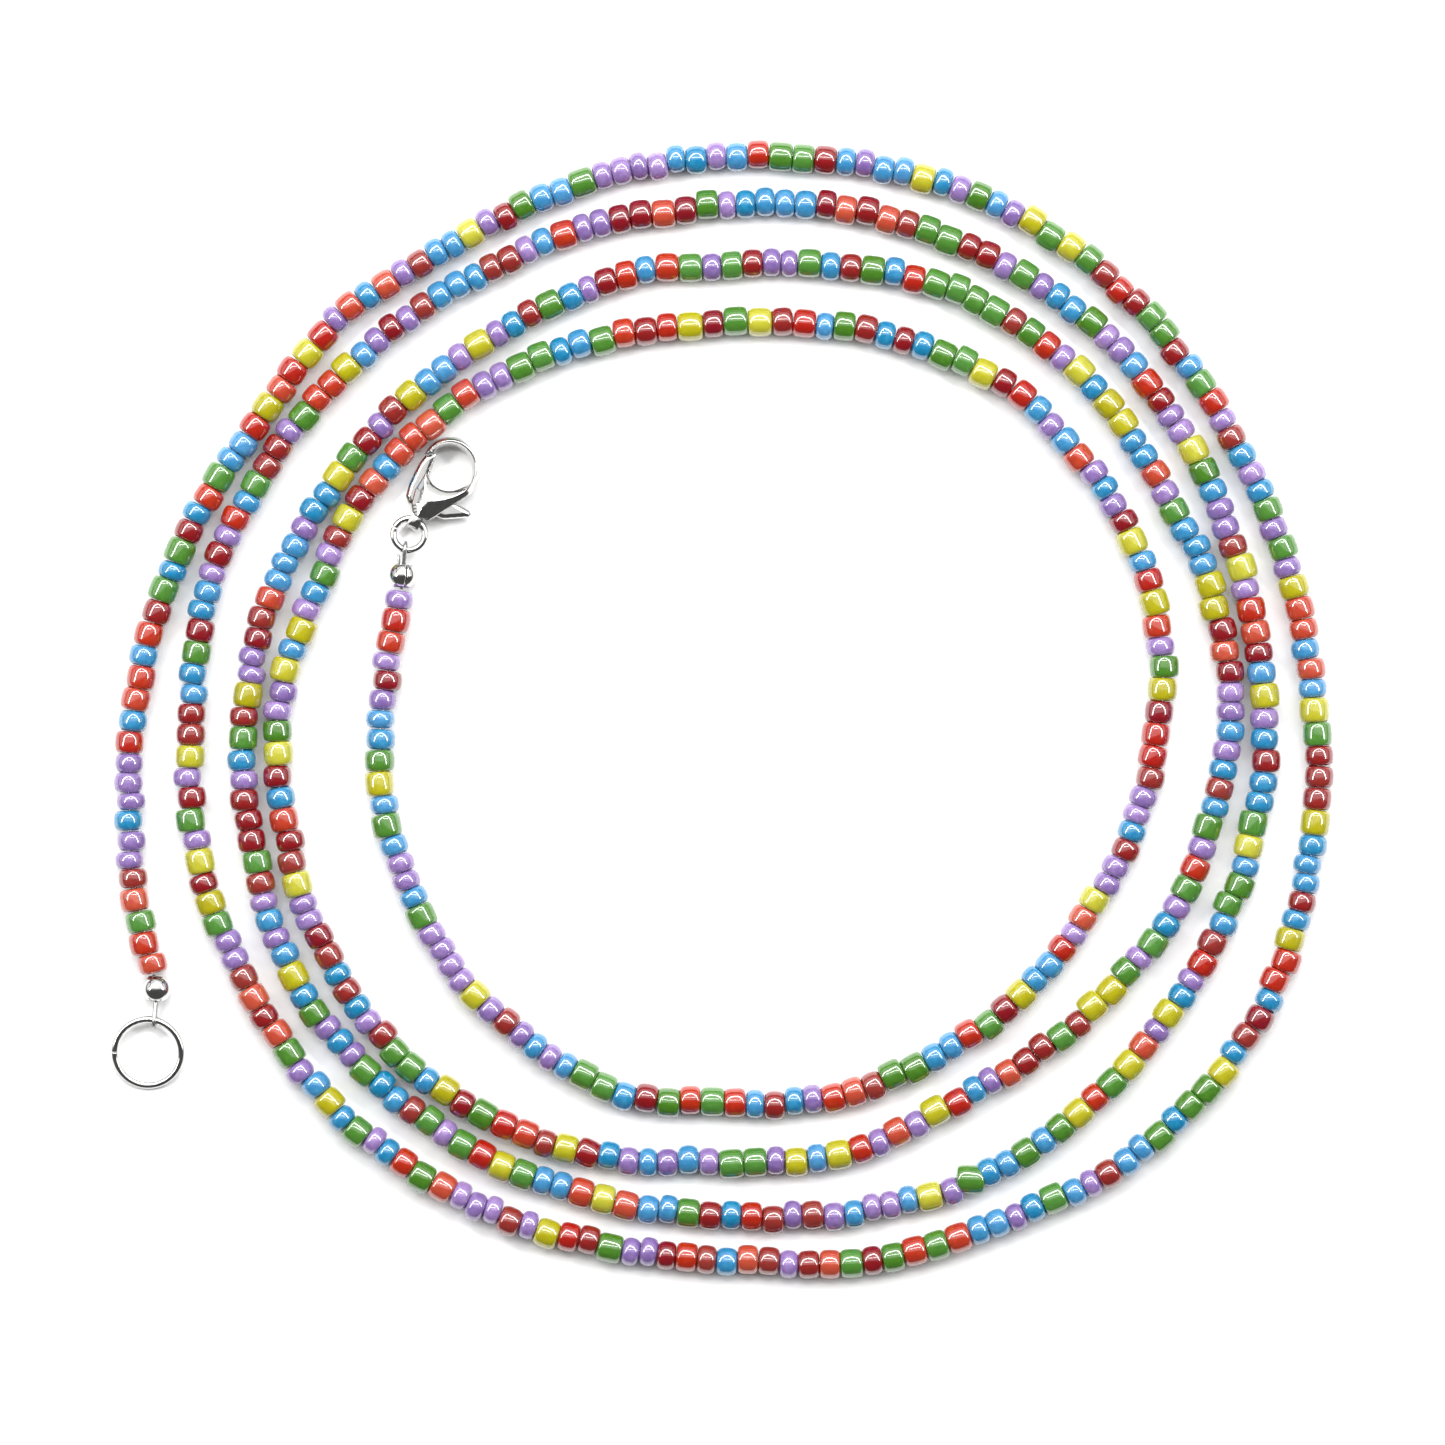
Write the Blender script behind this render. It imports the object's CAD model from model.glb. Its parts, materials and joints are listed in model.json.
"""Looks of the beaded strand: glass beads, coated wire, crimp covers, rings and clasp."""

import json
import math

import bmesh
import bpy
import numpy as np
from mathutils import Matrix, Vector
from mathutils.bvhtree import BVHTree
from mathutils.kdtree import KDTree


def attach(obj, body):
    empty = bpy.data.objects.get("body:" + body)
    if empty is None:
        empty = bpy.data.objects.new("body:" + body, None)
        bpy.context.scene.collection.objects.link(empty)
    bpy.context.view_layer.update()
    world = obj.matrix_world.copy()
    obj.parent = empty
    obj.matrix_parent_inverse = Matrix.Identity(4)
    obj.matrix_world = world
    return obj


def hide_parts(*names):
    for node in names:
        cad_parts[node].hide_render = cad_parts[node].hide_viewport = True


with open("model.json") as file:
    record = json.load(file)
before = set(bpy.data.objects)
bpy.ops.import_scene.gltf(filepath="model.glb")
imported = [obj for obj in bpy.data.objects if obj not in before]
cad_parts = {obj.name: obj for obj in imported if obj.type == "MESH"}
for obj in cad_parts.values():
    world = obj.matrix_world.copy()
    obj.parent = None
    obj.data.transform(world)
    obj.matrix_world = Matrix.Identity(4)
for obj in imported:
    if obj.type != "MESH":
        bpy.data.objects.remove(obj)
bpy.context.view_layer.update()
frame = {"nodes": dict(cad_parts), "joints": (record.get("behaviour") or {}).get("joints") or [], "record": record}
NODES = frame["nodes"]
JOINTS = {joint["name"]: joint for joint in frame["joints"]}
BODY_OF = {
    node: body
    for body, members in frame["record"]["behaviour"]["bodies"].items()
    for node in members
}
SLOT_OF = {part["node"]: part["material_slot"] for part in frame["record"]["subparts"]}
MM = 0.001
UP = Vector((0, 0, 1))

# ---------------------------------------------------------------- camera

VIEW_WIDTH = 0.14667
VIEW_CENTRE = Vector((-0.00005, -0.00147, 0.0015))
CAMERA_HEIGHT = 0.9


def make_camera():
    data = bpy.data.cameras.new("camera")
    data.lens = data.sensor_width * CAMERA_HEIGHT / VIEW_WIDTH
    data.clip_start = 0.01
    camera = bpy.data.objects.new("camera", data)
    camera.location = VIEW_CENTRE + CAMERA_HEIGHT * UP
    bpy.context.scene.collection.objects.link(camera)
    bpy.context.scene.camera = camera


make_camera()

# ---------------------------------------------------------------- node helpers


class Material:
    """A new material with its nodes, and short ways to add and link more."""

    def __init__(self, name):
        self.material = bpy.data.materials.new(name)
        self.material.use_nodes = True
        self.tree = self.material.node_tree
        self.shader = self.tree.nodes["Principled BSDF"]
        self.coordinates = self.add("ShaderNodeTexCoord").outputs["Object"]

    def add(self, kind, inputs=None, **settings):
        node = self.tree.nodes.new(kind)
        for name, value in settings.items():
            setattr(node, name, value)
        for name, value in (inputs or {}).items():
            if isinstance(value, bpy.types.NodeSocket):
                self.tree.links.new(value, node.inputs[name])
            else:
                node.inputs[name].default_value = value
        return node

    def noise(self, size, detail=2.0, roughness=0.5):
        """Noise whose features are about size metres across."""
        return self.add(
            "ShaderNodeTexNoise",
            {
                "Vector": self.coordinates,
                "Scale": 1 / size,
                "Detail": detail,
                "Roughness": roughness,
            },
        ).outputs["Fac"]

    def ramp(self, factor, low, high):
        """Stretches a factor so that low becomes 0 and high becomes 1."""
        return self.add(
            "ShaderNodeMapRange", {"Value": factor, "From Min": low, "From Max": high}
        ).outputs["Result"]

    def between(self, factor, low, high):
        """The number that lies factor of the way from low to high."""
        return self.add(
            "ShaderNodeMapRange", {"Value": factor, "To Min": low, "To Max": high}
        ).outputs["Result"]

    def mix(self, factor, first, second):
        """The colour that lies factor of the way from the first to the second."""
        node = self.add("ShaderNodeMix", data_type="RGBA")
        sockets = (node.inputs[0], node.inputs[6], node.inputs[7])
        for socket, value in zip(sockets, (factor, first, second)):
            if isinstance(value, bpy.types.NodeSocket):
                self.tree.links.new(value, socket)
            elif isinstance(value, (int, float)):
                socket.default_value = value
            else:
                socket.default_value = (*value, 1)
        return node.outputs[2]

    def bump(self, height, strength, distance):
        node = self.add(
            "ShaderNodeBump", {"Height": height, "Strength": strength, "Distance": distance}
        )
        self.set("Normal", node.outputs["Normal"])

    def set(self, name, value):
        socket = self.shader.inputs[name]
        if isinstance(value, bpy.types.NodeSocket):
            self.tree.links.new(value, socket)
        else:
            socket.default_value = value


# ---------------------------------------------------------------- materials

# For each glass: its deep colour, its milky colour, and how milky it is
GLASS_COLOURS = {
    "red_glass": ((0.180, 0.0006, 0.001), (0.270, 0.003, 0.006), 0.35),
    "orange_glass": ((0.330, 0.016, 0.0005), (0.400, 0.040, 0.004), 0.4),
    "yellow_glass": ((0.330, 0.305, 0.001), (0.385, 0.37, 0.015), 0.45),
    "green_glass": ((0.045, 0.160, 0.012), (0.072, 0.21, 0.030), 0.4),
    "blue_glass": ((0.015, 0.165, 0.340), (0.042, 0.24, 0.42), 0.55),
    "violet_glass": ((0.175, 0.100, 0.295), (0.255, 0.170, 0.375), 0.6),
}


def glass_material(slot):
    deep, milky, milkiness = GLASS_COLOURS[slot]
    m = Material(slot)
    clouds = m.ramp(m.noise(0.7 * MM, 4.0, 0.6), 0.75 - 0.6 * milkiness, 1.15 - 0.6 * milkiness)
    body = m.mix(clouds, deep, milky)
    tone = m.add("ShaderNodeAttribute", attribute_name="tone").outputs["Fac"]
    shade = m.add(
        "ShaderNodeHueSaturation",
        {
            "Hue": m.between(tone, 0.494, 0.506),
            "Saturation": m.between(tone, 1.05, 0.93),
            "Value": m.between(tone, 0.86, 1.12),
            "Color": body,
        },
    )
    m.set("Base Color", shade.outputs["Color"])
    m.set("Roughness", m.between(m.noise(0.25 * MM, 3.0), 0.22, 0.42))
    m.set("IOR", 1.55)
    m.set("Specular IOR Level", 0.2)
    m.set("Subsurface Weight", 0.35)
    m.set("Subsurface Radius", (1.0, 0.8, 0.7))
    m.set("Subsurface Scale", 0.35 * MM)
    m.set("Coat Weight", 1.0)
    m.set("Coat Roughness", 0.02)
    m.set("Coat IOR", 1.85)
    m.bump(m.noise(0.5 * MM, 3.0), 0.08, 0.02 * MM)
    return m.material


def polished_material(slot):
    m = Material(slot)
    blotches = m.noise(1.1 * MM, 3.0)
    m.set("Base Color", m.mix(blotches, (0.56, 0.56, 0.56), (0.68, 0.67, 0.65)))
    m.set("Metallic", 1.0)
    m.set("Roughness", m.between(m.ramp(m.noise(0.35 * MM, 4.0, 0.65), 0.35, 0.7), 0.10, 0.19))
    m.bump(m.noise(0.45 * MM, 2.0), 0.12, 0.02 * MM)
    return m.material


def wire_material(slot):
    m = Material(slot)
    m.set("Base Color", m.mix(m.noise(0.6 * MM, 3.0), (0.26, 0.26, 0.26), (0.40, 0.40, 0.39)))
    m.set("Metallic", 0.85)
    m.set("Roughness", m.between(m.noise(0.2 * MM, 3.0), 0.18, 0.34))
    m.set("Coat Weight", 0.6)
    m.set("Coat Roughness", 0.12)
    m.bump(m.noise(0.12 * MM, 2.0), 0.2, 0.01 * MM)
    return m.material


MATERIALS = {slot: glass_material(slot) for slot in GLASS_COLOURS}
MATERIALS["polished_steel"] = polished_material("polished_steel")
MATERIALS["beading_wire"] = wire_material("beading_wire")

for name, node in NODES.items():
    node.data.materials.clear()
    node.data.materials.append(MATERIALS[SLOT_OF[name]])

# ---------------------------------------------------------------- mesh helpers


def new_piece(name, node, vertices, faces):
    """A smooth mesh with the finish of a CAD node."""
    mesh = bpy.data.meshes.new(name)
    mesh.from_pydata([tuple(v) for v in vertices], [], faces)
    mesh.validate()
    mesh.polygons.foreach_set("use_smooth", [True] * len(mesh.polygons))
    mesh.materials.append(MATERIALS[SLOT_OF[node]])
    piece = bpy.data.objects.new(name, mesh)
    bpy.context.scene.collection.objects.link(piece)
    return piece


def stand_in(piece, node):
    """Shows a piece in place of a CAD node."""
    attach(piece, BODY_OF[node])
    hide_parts(node)


def apply_modifiers(piece):
    """Turns a piece's modifiers into its mesh."""
    graph = bpy.context.evaluated_depsgraph_get()
    mesh = bpy.data.meshes.new_from_object(piece.evaluated_get(graph))
    old = piece.data
    piece.modifiers.clear()
    piece.data = mesh
    bpy.data.meshes.remove(old)
    mesh.polygons.foreach_set("use_smooth", [True] * len(mesh.polygons))


def grid_faces(rows, columns, close_rows, close_columns, start=0):
    """Quads between rows x columns of vertices, numbered row by row from start."""
    faces = []
    for i in range(rows if close_rows else rows - 1):
        for j in range(columns if close_columns else columns - 1):
            a, b = i * columns, (i + 1) % rows * columns
            c, d = j, (j + 1) % columns
            faces.append((start + a + c, start + b + c, start + b + d, start + a + d))
    return faces


def points_of(node):
    mesh = NODES[node].data
    found = np.empty(len(mesh.vertices) * 3)
    mesh.vertices.foreach_get("co", found)
    return found.reshape(-1, 3)


# Corners that are closer than this are one corner
WELD = 1e-6


def solids_of(node):
    """The points of each separate solid in a CAD node."""
    mesh = NODES[node].data
    points = points_of(node)
    edges = np.empty(len(mesh.edges) * 2, np.int64)
    mesh.edges.foreach_get("vertices", edges)
    places = np.round(points / WELD).astype(np.int64)
    unique, merged = np.unique(places, axis=0, return_inverse=True)
    edges = merged.reshape(-1)[edges].reshape(-1, 2)
    label = np.arange(len(unique))
    while True:
        lowest = np.minimum(label[edges[:, 0]], label[edges[:, 1]])
        joined = label.copy()
        np.minimum.at(joined, edges[:, 0], lowest)
        np.minimum.at(joined, edges[:, 1], lowest)
        joined = joined[joined]
        if (joined == label).all():
            return [unique[label == k] * WELD for k in np.unique(label)]
        label = joined


# ---------------------------------------------------------------- the strand's beads


class Bead:
    """One bead of the CAD: its node, middle, axis (level), length and diameter."""

    def __init__(self, node, points):
        low, high = points.min(0), points.max(0)
        flat = points[:, :2] - points[:, :2].mean(0)
        _, directions = np.linalg.eigh(flat.T @ flat)
        extents = [np.ptp(flat @ directions[:, k]) for k in (0, 1)]
        self.node = node
        self.axis = directions[:, int(np.argmin(extents))]
        self.middle = Vector((*points[:, :2].mean(0), (low[2] + high[2]) / 2))
        self.length = min(extents)
        self.diameter = high[2] - low[2]


def strand_order(beads):
    """The beads in order along the strand, from the ring end: each is the nearest one left."""
    here = Vector(JOINTS["ring_cover_bend"]["pos_m"])
    left, order = list(beads), []
    while left:
        after = min(left, key=lambda bead: (bead.middle - here).length_squared)
        left.remove(after)
        order.append(after)
        here = after.middle
    return order


BEADS = strand_order(
    Bead(node, points)
    for node in sorted(NODES) if SLOT_OF[node] in GLASS_COLOURS
    for points in solids_of(node)
)

# ---------------------------------------------------------------- the wire

WIRE_DIAMETER = 0.00045


def make_strand_wire():
    """The wire inside the strand, from one tail's inner bend to the other's."""
    start = Vector(JOINTS["ring_tail_bend_2"]["pos_m"])
    end = Vector(JOINTS["clasp_tail_bend_2"]["pos_m"])
    path = [start] + [bead.middle for bead in BEADS if BODY_OF[bead.node] == "strand"] + [end]
    curve = bpy.data.curves.new("strand_wire", "CURVE")
    curve.dimensions = "3D"
    curve.bevel_depth = WIRE_DIAMETER / 2
    curve.bevel_resolution = 3
    curve.use_fill_caps = True
    spline = curve.splines.new("POLY")
    spline.points.add(len(path) - 1)
    for point, place in zip(spline.points, path):
        point.co = (place.x, place.y, start.z, 1)
    spline.use_smooth = True
    curve.materials.append(MATERIALS["beading_wire"])
    wire = bpy.data.objects.new("strand_wire", curve)
    bpy.context.scene.collection.objects.link(wire)
    stand_in(wire, "wire_coil")


make_strand_wire()

# ---------------------------------------------------------------- the beads

# For each glass: how round a bead's section is, from 0 for square, and how far out its ends
# are flat, as a part of its radius
BEAD_SHAPES = {
    "red_glass": (0.76, 0.58),
    "orange_glass": (0.70, 0.62),
    "yellow_glass": (0.68, 0.62),
    "green_glass": (0.60, 0.66),
    "blue_glass": (0.84, 0.54),
    "violet_glass": (0.84, 0.54),
}
BEAD_SEED = 8
BEAD_SEGMENTS = 32
BEAD_RIM_POINTS = 17
BORE_POINTS = 6
BORE_RADIUS = 0.0005
BORE_LIP = 0.00008
# How much longer a bead is than in the CAD, so that neighbours almost touch
BEAD_GROWTH = 0.00008
# Distance between the middles of two beads of different laps that just clear each other
BEAD_ROOM = 0.00318
BEAD_SEARCH = 0.0045
LARGEST_SHIFT = 0.00024
TURN_SPREAD = math.radians(3.5)
# Beads nearer to each other than this along the strand aren't on different laps
NEAR_IN_ORDER = 12
BEND_REACH = 0.0002


def bead_profile(length, radius, roundness, flat):
    """Points (along, outwards) of half a bead's section, as a closed line."""
    half, inner = length / 2, flat * radius
    profile = []
    for angle in np.linspace(-math.pi / 2, math.pi / 2, BEAD_RIM_POINTS):
        s, c = math.sin(angle), max(math.cos(angle), 0.0)
        profile.append((
            half * math.copysign(abs(s) ** roundness, s), inner + (radius - inner) * c**roundness
        ))
    lip = half - BORE_LIP
    return np.array(profile + [
        (half, BORE_RADIUS + BORE_LIP), (lip, BORE_RADIUS), (0.4 * lip, BORE_RADIUS),
        (-0.4 * lip, BORE_RADIUS), (-lip, BORE_RADIUS), (-half, BORE_RADIUS + BORE_LIP),
    ])


def side_room():
    """How far each bead can move sideways and still clear the next lap."""
    tree = KDTree(len(BEADS))
    for number, bead in enumerate(BEADS):
        tree.insert(bead.middle, number)
    tree.balance()
    room = []
    for number, bead in enumerate(BEADS):
        others = [
            distance for _, other, distance in tree.find_range(bead.middle, BEAD_SEARCH)
            if abs(other - number) > NEAR_IN_ORDER
        ]
        room.append(min(LARGEST_SHIFT, max(0, min(others, default=1) - BEAD_ROOM) / 2))
    return room


def beside_bend(bead):
    """Whether one of the bead's ends is at a joint, so that it needs all the room of its gap."""
    bends = (Vector(joint["pos_m"]) for name, joint in JOINTS.items() if "_bend" in name)
    return any((bead.middle - bend).length < bead.length / 2 + BEND_REACH for bend in bends)


def bead_mesh(bead, room, rng):
    """Vertices of one glass bead, a little uneven, round the CAD bead's middle."""
    loose = 0 if beside_bend(bead) else 1
    roundness, flat = BEAD_SHAPES[SLOT_OF[bead.node]]
    roundness += rng.uniform(-0.06, 0.06)
    profile = bead_profile(
        bead.length + loose * BEAD_GROWTH, bead.diameter / 2, roundness, flat
    )
    angles = np.linspace(0, 2 * math.pi, BEAD_SEGMENTS, endpoint=False)
    wedge, oval, dent = rng.uniform(0, 0.03), rng.uniform(0, 0.02), rng.uniform(0, 0.03)
    phases = rng.uniform(0, 2 * math.pi, 3)
    along = profile[:, 0][:, None] * (1 - wedge * (1 + np.cos(angles - phases[0])) / 2)
    lean = profile[:, 0][:, None] / bead.length * np.cos(angles - phases[2])
    outer = (profile[:, 1] > BORE_RADIUS * 1.3)[:, None]
    thinner = oval * (1 + np.cos(2 * (angles - phases[1]))) / 2 + dent * (0.5 + lean)
    out = profile[:, 1][:, None] * (1 - outer * thinner)
    turn = math.atan2(bead.axis[1], bead.axis[0]) + loose * rng.uniform(-TURN_SPREAD, TURN_SPREAD)
    forward = np.array([math.cos(turn), math.sin(turn), 0])
    side = np.array([-forward[1], forward[0], 0])
    shift = side * np.clip(rng.normal(0, 0.7 * LARGEST_SHIFT), -room, room)
    return (
        np.array(bead.middle) + shift
        + along[..., None] * forward
        + (out * np.cos(angles))[..., None] * side
        + (out * np.sin(angles))[..., None] * np.array([0, 0, 1])
    ).reshape(-1, 3)


def make_beads():
    """One piece for each bead node, with every bead of that colour in that stretch."""
    rng = np.random.default_rng(BEAD_SEED)
    rows = BEAD_RIM_POINTS + BORE_POINTS
    size = rows * BEAD_SEGMENTS
    shapes = {}
    for bead, room in zip(BEADS, side_room()):
        shapes.setdefault(bead.node, []).append(bead_mesh(bead, room, rng))
    for node, found in shapes.items():
        faces = []
        for number in range(len(found)):
            faces += grid_faces(rows, BEAD_SEGMENTS, True, True, number * size)
        piece = new_piece(f"{node}_glass", node, np.vstack(found), faces)
        tone = piece.data.attributes.new("tone", "FLOAT", "POINT")
        tone.data.foreach_set("value", np.repeat(rng.uniform(0, 1, len(found)), size))
        stand_in(piece, node)


make_beads()

# ---------------------------------------------------------------- rings and crimp covers

RING_STEPS = 160
RING_SIDES = 28
RING_CUT = 0.00008
END_ROUNDING = 0.00007


def swept_piece(name, node, sections):
    """A closed piece through a list of equal closed sections, with flat ends."""
    count, sides = len(sections), len(sections[0])
    faces = grid_faces(count, sides, False, True)
    faces += [tuple(range(sides)), tuple(reversed(range((count - 1) * sides, count * sides)))]
    return new_piece(name, node, np.vstack(sections), faces)


def round_middle(points):
    """Middle of the circle or ball nearest to some points of a plane or of space."""
    matrix = np.column_stack([2 * points, np.ones(len(points))])
    return np.linalg.lstsq(matrix, (points**2).sum(1), rcond=None)[0][:-1]


def make_ring(node):
    """A wire ring whose two cut ends meet where the CAD's do, with softened edges."""
    points = points_of(node)
    middle = points.mean(0)
    _, directions = np.linalg.eigh((points - middle).T @ (points - middle))
    normal, across, up = directions.T
    flat = (points - middle) @ np.column_stack([across, up])
    centre = round_middle(flat)
    reach = np.linalg.norm(flat - centre, axis=1)
    radius, wire_radius = (reach.max() + reach.min()) / 2, (reach.max() - reach.min()) / 2
    middle = middle + across * centre[0] + up * centre[1]
    turns = np.sort(np.arctan2(*(flat - centre).T[::-1]))
    gaps = np.diff(np.append(turns, turns[0] + 2 * math.pi))
    widest = int(gaps.argmax())
    start, cut = turns[widest] + gaps[widest], RING_CUT / radius
    first = start - gaps[widest] / 2 + cut / 2
    last = start + 2 * math.pi - gaps[widest] / 2 - cut / 2
    # Extra sections close to the ends carry the rounding of their edges
    rounding = END_ROUNDING / radius
    ends = rounding * np.array([0, 0.15, 0.4, 0.7, 1])
    between = np.linspace(first + 2 * rounding, last - 2 * rounding, RING_STEPS)
    stops = np.concatenate([first + ends, between, last - ends[::-1]])
    around = np.linspace(0, 2 * math.pi, RING_SIDES, endpoint=False)
    sections = []
    for turn in stops:
        inset = 1 - min(turn - first, last - turn, rounding) / rounding
        r = wire_radius - END_ROUNDING * (1 - math.sqrt(1 - inset**2))
        outwards = across * math.cos(turn) + up * math.sin(turn)
        sections.append(
            middle + radius * outwards
            + r * (np.outer(np.cos(around), outwards) + np.outer(np.sin(around), normal))
        )
    stand_in(swept_piece(f"{node}_wire", node, sections), node)


# For each cover: heading of its loop, radii of the loop's and the strand's holes, turn of its seam
COVERS = {
    "crimp_cover_ring_end": (266, 0.00078, 0.00072, 140),
    "crimp_cover_clasp_end": (85, 0.00098, 0.00072, -18),
}
COVER_WALL = 0.0002
# The CAD cover's points farther out than this are on its outside
COVER_OUTSIDE = 0.0014
COVER_SEAM = math.radians(4.5)
COVER_SECTIONS = 76
COVER_RINGS = 30
SEAM_ROUNDING = 0.00016


def make_cover(node):
    """A ball folded shut from a cup, so with a seam down one side and rolled rims."""
    heading, loop_hole, bead_hole, seam = COVERS[node]
    points = points_of(node)
    centre = (points.min(0) + points.max(0)) / 2
    for _ in range(4):
        outer = points[np.linalg.norm(points - centre, axis=1) > COVER_OUTSIDE]
        centre = round_middle(outer)
    radius = np.median(np.linalg.norm(outer - centre, axis=1))
    heading, seam = math.radians(heading), math.radians(seam)
    forward = np.array([math.cos(heading), math.sin(heading), 0])
    side, up = np.array([-forward[1], forward[0], 0]), np.array([0, 0, 1])
    first, last = math.asin(loop_hole / radius), math.pi - math.asin(bead_hole / radius)
    tilts = np.linspace(first, last, COVER_RINGS)
    # The rims roll a little inwards at both holes
    rims = np.minimum(tilts - first, last - tilts) * radius / SEAM_ROUNDING
    rolled = SEAM_ROUNDING * 0.5 * (1 - np.sqrt(1 - (1 - np.minimum(rims, 1)) ** 2))
    outside, inside = radius - rolled, np.full(len(tilts), radius - COVER_WALL)
    reach = np.concatenate([outside, inside[::-1]])
    tilts = np.concatenate([tilts, tilts[::-1]])
    sections = []
    half = COVER_SEAM / 2
    edge = SEAM_ROUNDING / radius * np.array([0, 0.1, 0.3, 0.6])
    start = half + SEAM_ROUNDING / radius
    end = 2 * math.pi - half - SEAM_ROUNDING / radius
    turns = np.concatenate([
        half + edge, np.linspace(start, end, COVER_SECTIONS), 2 * math.pi - half - edge[::-1]
    ])
    is_outside = np.arange(len(tilts)) < len(tilts) // 2
    for turn in turns:
        inset = 1 - min((min(turn, 2 * math.pi - turn) - half) * radius / SEAM_ROUNDING, 1)
        fold = is_outside * SEAM_ROUNDING * 0.7 * (1 - math.sqrt(1 - inset**2))
        outwards = side * math.sin(seam + turn) + up * math.cos(seam + turn)
        r = reach - fold
        sections.append(
            centre + np.outer(r * np.cos(tilts), forward) + np.outer(r * np.sin(tilts), outwards)
        )
    stand_in(swept_piece(f"{node}_ball", node, sections), node)


for node in ("end_ring", "jump_ring"):
    make_ring(node)
for node in COVERS:
    make_cover(node)

# ---------------------------------------------------------------- wire loops


def welded(node, scale):
    """A copy of a CAD node's mesh with its split corners joined, scaled about the origin."""
    mesh = bmesh.new()
    mesh.from_mesh(NODES[node].data)
    bmesh.ops.scale(mesh, vec=(scale,) * 3, verts=mesh.verts)
    bmesh.ops.remove_doubles(mesh, verts=mesh.verts, dist=scale * WELD)
    return mesh


def piece_from(name, node, mesh):
    """A piece with the finish of a CAD node, made from an edited mesh."""
    data = bpy.data.meshes.new(name)
    mesh.to_mesh(data)
    mesh.free()
    data.materials.append(MATERIALS[SLOT_OF[node]])
    piece = bpy.data.objects.new(name, data)
    bpy.context.scene.collection.objects.link(piece)
    return piece


def make_bent_wire(node):
    """The CAD's faceted wire, made smooth and round."""
    mesh = welded(node, 1)
    bmesh.ops.join_triangles(
        mesh, faces=mesh.faces, angle_face_threshold=math.radians(40),
        angle_shape_threshold=math.radians(60),
    )
    piece = piece_from(f"{node}_round", node, mesh)
    piece.modifiers.new("smooth", "SUBSURF").levels = 2
    apply_modifiers(piece)
    stand_in(piece, node)


for node in ("wire_ring_loop", "wire_clasp_loop"):
    make_bent_wire(node)

# ---------------------------------------------------------------- the clasp

# In millimetres, as are the clasp's other sizes. Its mesh is scaled up for the voxel remesh, which
# allows no voxel this small in metres
CLASP_VOXEL = 0.05
CLASP_HEADING = math.radians(63)
PIVOT_FROM_EYE = 2.2
# Where the clasp's body turns into its hook, and over what length
HOOK_START = 4.2
HOOK_BLEND = 2


def along_clasp(x, y):
    """How far a point of the plan, in millimetres, lies from the clasp's eye towards its hook."""
    pivot = Vector(JOINTS["lever_press"]["pos_m"]) / MM
    forward, sideways = math.cos(CLASP_HEADING), math.sin(CLASP_HEADING)
    return PIVOT_FROM_EYE + (x - pivot.x) * forward + (y - pivot.y) * sideways


def silhouette_distance(mesh, step):
    """How far a point of the plan lies inside the outline of a mesh, seen from above."""
    tree = BVHTree.FromBMesh(mesh)
    corners = np.array([vertex.co for vertex in mesh.verts])
    low, high = corners.min(0) - 3 * step, corners.max(0) + 3 * step
    xs, ys = np.arange(low[0], high[0], step), np.arange(low[1], high[1], step)
    covered = np.array([
        [tree.ray_cast(Vector((x, y, high[2] + 1)), -UP)[0] is not None for y in ys] for x in xs
    ])
    beside = np.zeros_like(covered)
    for axis in (0, 1):
        for way in (1, -1):
            beside |= np.roll(covered, way, axis)
    rim = np.argwhere(beside & ~covered)
    outline = KDTree(len(rim))
    for number, (i, j) in enumerate(rim):
        outline.insert((xs[i], ys[j], 0), number)
    outline.balance()
    return lambda x, y: max(outline.find((x, y, 0))[2] - step / 2, 0)


def make_cast_piece(name, node, smoothing, body, hook, crown):
    """A cast and tumbled form of a flat CAD part, whose faces fall away towards its outline.

    body and hook are each the thickness that is kept and the width of the fall, and crown is
    how much higher the middle of the top is raised.
    """
    mesh = welded(node, 1 / MM)
    bmesh.ops.triangulate(mesh, faces=mesh.faces)
    inside = silhouette_distance(mesh, CLASP_VOXEL)
    piece = piece_from(name, node, mesh)
    remesh = piece.modifiers.new("remesh", "REMESH")
    remesh.mode = "VOXEL"
    remesh.voxel_size = CLASP_VOXEL
    smooth = piece.modifiers.new("smooth", "SMOOTH")
    smooth.factor, smooth.iterations = 0.5, smoothing
    apply_modifiers(piece)
    corners = np.empty(len(piece.data.vertices) * 3)
    piece.data.vertices.foreach_get("co", corners)
    corners = corners.reshape(-1, 3)
    middle = (corners[:, 2].min() + corners[:, 2].max()) / 2
    for corner in corners:
        blend = min(max((along_clasp(corner[0], corner[1]) - HOOK_START) / HOOK_BLEND, 0), 1)
        blend = blend * blend * (3 - 2 * blend)
        keep = (body[0] * (1 - blend) + hook[0] * blend) / 2
        width = body[1] * (1 - blend) + hook[1] * blend
        height = corner[2] - middle
        if abs(height) > keep:
            inset = 1 - min(inside(corner[0], corner[1]) / width, 1)
            fall = (1 - inset**2) ** 0.7 * (1 + (crown if height > 0 else 0) * (1 - inset))
            corner[2] = middle + math.copysign(keep + (abs(height) - keep) * fall, height)
    piece.data.vertices.foreach_set("co", (corners * MM).ravel())
    piece.data.update()
    evened = piece.modifiers.new("evened", "CORRECTIVE_SMOOTH")
    evened.factor, evened.iterations, evened.smooth_type = 0.5, 3, "LENGTH_WEIGHTED"
    evened.use_only_smooth = True
    apply_modifiers(piece)
    stand_in(piece, node)


make_cast_piece(
    "clasp_body_cast", "clasp_body", 10, body=(1.5, 1.9), hook=(0.3, 0.42), crown=0.45
)
make_cast_piece(
    "clasp_lever_cast", "clasp_lever", 8, body=(0.4, 0.5), hook=(0.4, 0.5), crown=0
)

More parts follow.
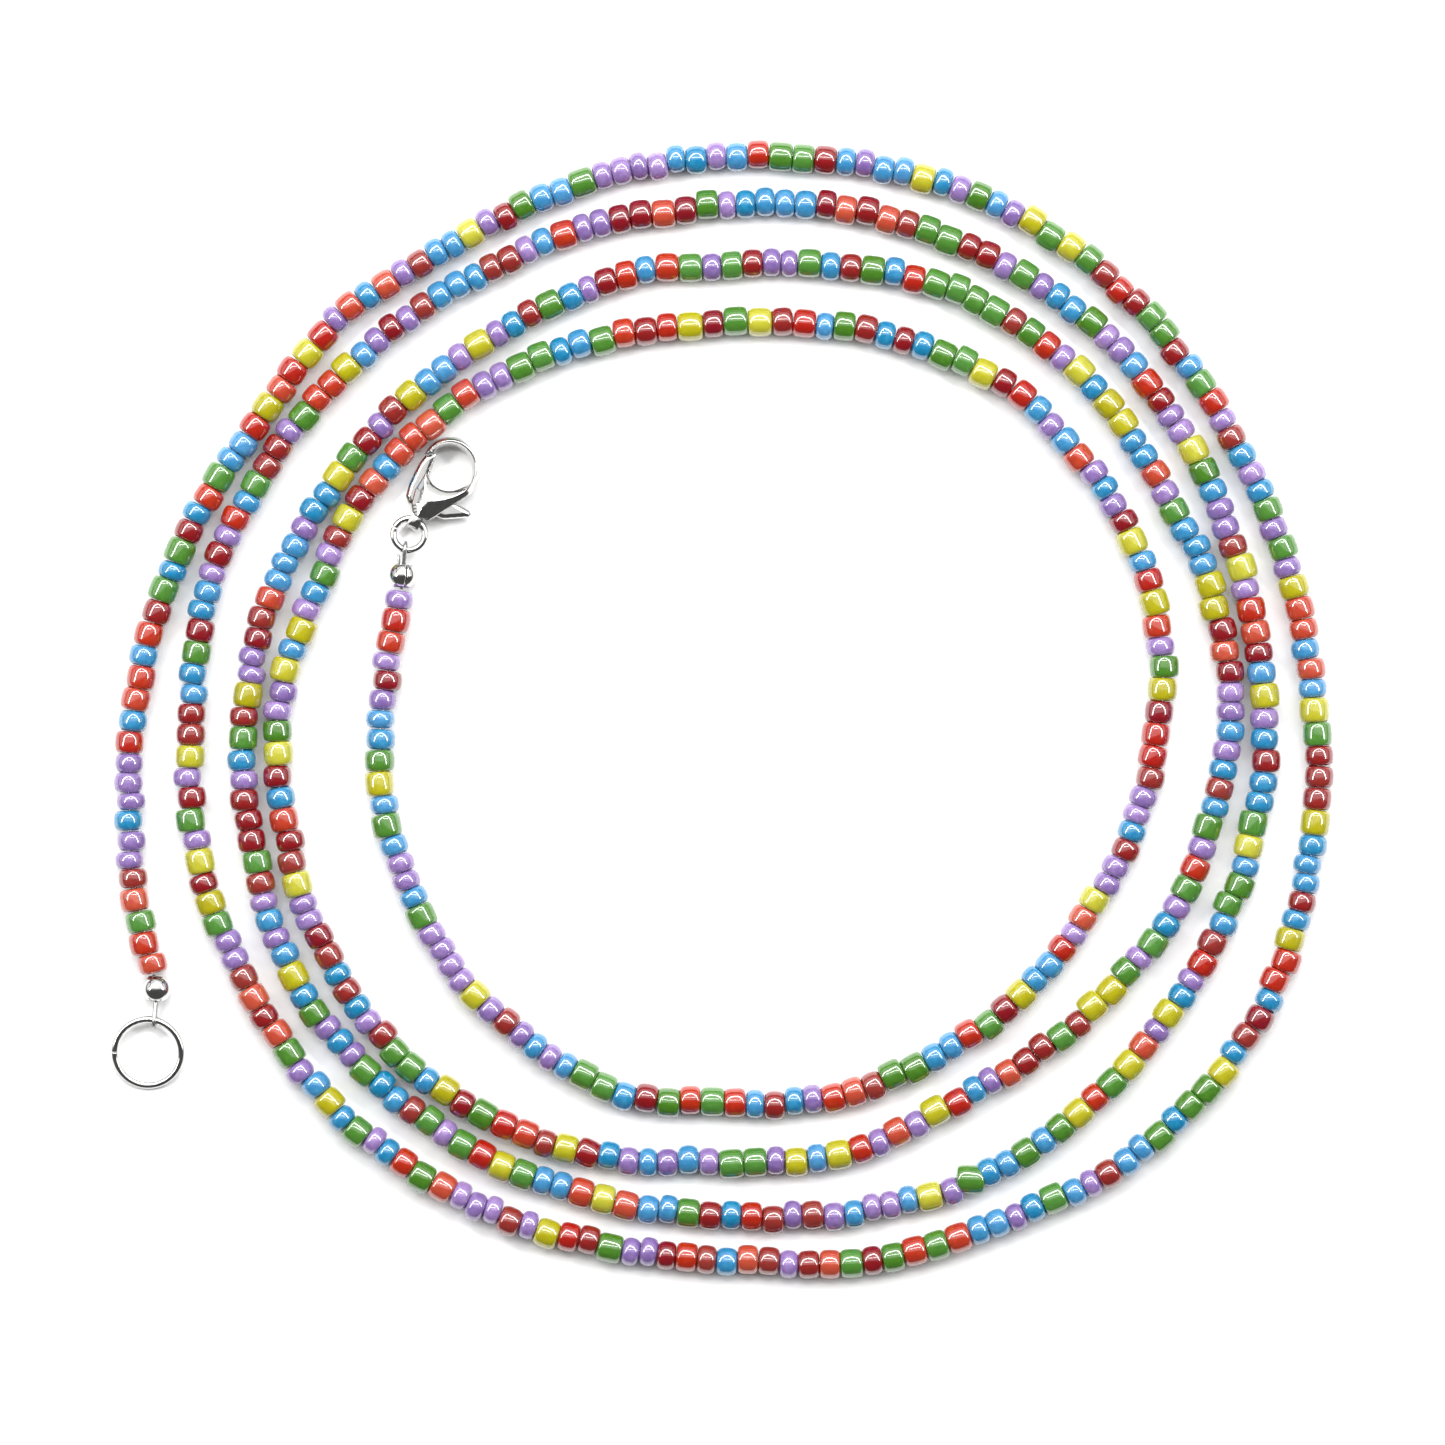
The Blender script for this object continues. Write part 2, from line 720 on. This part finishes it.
# ---------------------------------------------------------------- floor and light

FLOOR_REACH = 3.0
WORLD_LIGHT = 0.09
SOFTBOX_RADIANCE = 1.05
SOFTBOX_REACH = Vector((1.15, 0, 0))
STRIP_RADIANCE = 25.0
STRIP_DISTANCE = 0.8


def make_floor():
    m = Material("floor")
    m.set("Base Color", m.mix(m.noise(0.2, 2.0), (0.81, 0.81, 0.81), (0.83, 0.83, 0.83)))
    m.set("Roughness", 0.8)
    m.set("Specular IOR Level", 0.2)
    corners = [(FLOOR_REACH * x, FLOOR_REACH * y, 0) for x, y in ((-1, -1), (1, -1), (1, 1), (-1, 1))]
    mesh = bpy.data.meshes.new("floor")
    mesh.from_pydata(corners, [], [(0, 1, 2, 3)])
    mesh.materials.append(m.material)
    floor = bpy.data.objects.new("floor", mesh)
    bpy.context.scene.collection.objects.link(floor)


def direction(tilt, heading):
    """A unit vector tilt degrees from straight up, towards a heading counted from +X."""
    tilt, heading = math.radians(tilt), math.radians(heading)
    level = math.sin(tilt)
    return Vector((level * math.cos(heading), level * math.sin(heading), math.cos(tilt)))


def make_strip(name, start, end, width, radiance):
    """A rectangular lamp whose long side runs from start to end, facing the object."""
    middle, along = (start + end) / 2, end - start
    data = bpy.data.lights.new(name, "AREA")
    data.shape = "RECTANGLE"
    data.size = along.length
    data.size_y = width
    data.energy = radiance * math.pi * along.length * width
    x, z = along.normalized(), middle.normalized()
    y = z.cross(x).normalized()
    z = x.cross(y)
    lamp = bpy.data.objects.new(name, data)
    lamp.matrix_world = Matrix.Translation(middle) @ Matrix((x, y, z)).transposed().to_4x4()
    bpy.context.scene.collection.objects.link(lamp)


def make_lights():
    """A softbox above and behind the strand, three strips whose glints meet on each bead, and
    a low box at each side."""
    centre = 1.3 * direction(36, 90)
    make_strip(
        "softbox", centre - SOFTBOX_REACH, centre + SOFTBOX_REACH, 2.0, SOFTBOX_RADIANCE
    )
    apex = STRIP_DISTANCE * direction(50, 90)
    for side, heading in (("right", -8), ("left", 188)):
        foot = STRIP_DISTANCE * direction(55, heading)
        make_strip(f"strip_{side}", apex, foot, 0.07, STRIP_RADIANCE)
    bar = [STRIP_DISTANCE * direction(27, heading) for heading in (40, 140)]
    make_strip("strip_bar", *bar, 0.035, 0.8 * STRIP_RADIANCE)
    for side in (-1, 1):
        ends = [Vector((1.1 * side, y, 0.45)) for y in (-0.15, 0.9)]
        make_strip(f"side_{'right' if side > 0 else 'left'}", *ends, 0.5, 1.0)


def make_world():
    world = bpy.data.worlds.new("world")
    world.use_nodes = True
    background = world.node_tree.nodes["Background"]
    background.inputs["Color"].default_value = (1, 1, 1, 1)
    background.inputs["Strength"].default_value = WORLD_LIGHT
    bpy.context.scene.world = world
    bpy.context.scene.view_settings.view_transform = "Standard"


make_floor()
make_lights()
make_world()
